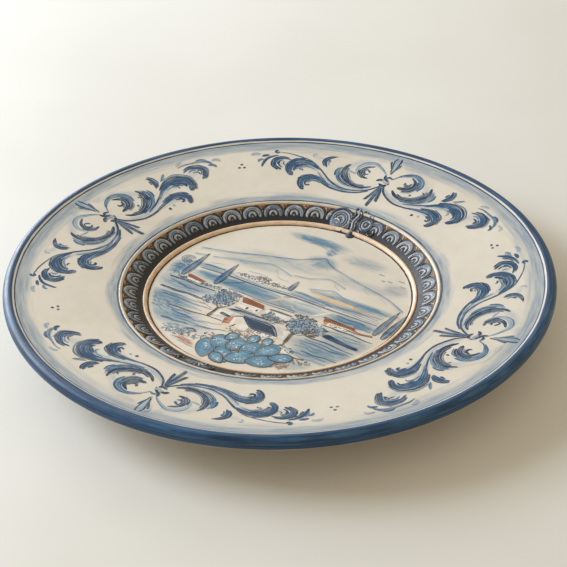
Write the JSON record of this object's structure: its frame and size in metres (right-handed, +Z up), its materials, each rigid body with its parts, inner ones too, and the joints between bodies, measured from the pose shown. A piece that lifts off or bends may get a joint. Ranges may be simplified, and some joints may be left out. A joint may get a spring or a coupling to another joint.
{
  "type": "souvenir plate",
  "caption": "Round tin-glazed earthenware wall plate with a broad scroll-painted rim, a scalloped well frieze and a painted landscape, standing on a foot ring.",
  "frame": {"origin": "centre of the foot ring's resting face", "axes": "+Z up along the plate's axis of revolution; +Y towards the top of the painted picture, +X to the picture's right"},
  "size_m": [0.314, 0.314, 0.0301],
  "materials": {
    "clay": "bare fired terracotta, fine and matt",
    "tin_glaze": "glossy cream tin glaze with faint cloudiness",
    "cobalt": "brushed cobalt blue under a glossy glaze",
    "pale_cobalt": "diluted cobalt wash, glossy",
    "manganese": "dark manganese brown ground, glossy",
    "grey_blue": "grey-blue enamel in low relief, glossy",
    "ochre": "ochre enamel, glossy",
    "rust": "iron red-brown enamel, glossy",
    "cream_relief": "cream moulding, glossy",
    "turquoise": "light blue enamel, glossy"
  },
  "bodies": {
    "root": {"clay_body": "clay", "foot_ring": "clay", "glaze_front": "tin_glaze", "glaze_back": "tin_glaze", "glaze_recess": "tin_glaze", "lip_band": "cobalt", "rim_pinstripe": "cobalt", "well_line": "cobalt", "head_moulding": "cream_relief", "foot_bead": "cream_relief", "bead_line": "manganese", "frieze_ground": "manganese", "frieze_arches": "grey_blue", "frieze_pearls": "grey_blue", "frieze_darts": "ochre", "cartouche_top": "cobalt", "cartouche_bottom": "cobalt", "dot_trios": "cobalt", "spray_top": "cobalt", "spray_right": "cobalt", "spray_bottom": "cobalt", "spray_left": "cobalt", "clouds": "pale_cobalt", "mountain_ridges": "pale_cobalt", "hill_bands": "pale_cobalt", "field_wash": "pale_cobalt", "field_furrows": "cobalt", "cypresses": "cobalt", "tree_crowns": "pale_cobalt", "tree_trunks": "manganese", "cottage_roof": "cobalt", "house_walls": "cream_relief", "tile_roofs": "rust", "prickly_pear": "turquoise", "earth_patches": "rust", "birds": "cobalt"}
  },
  "joints": []
}
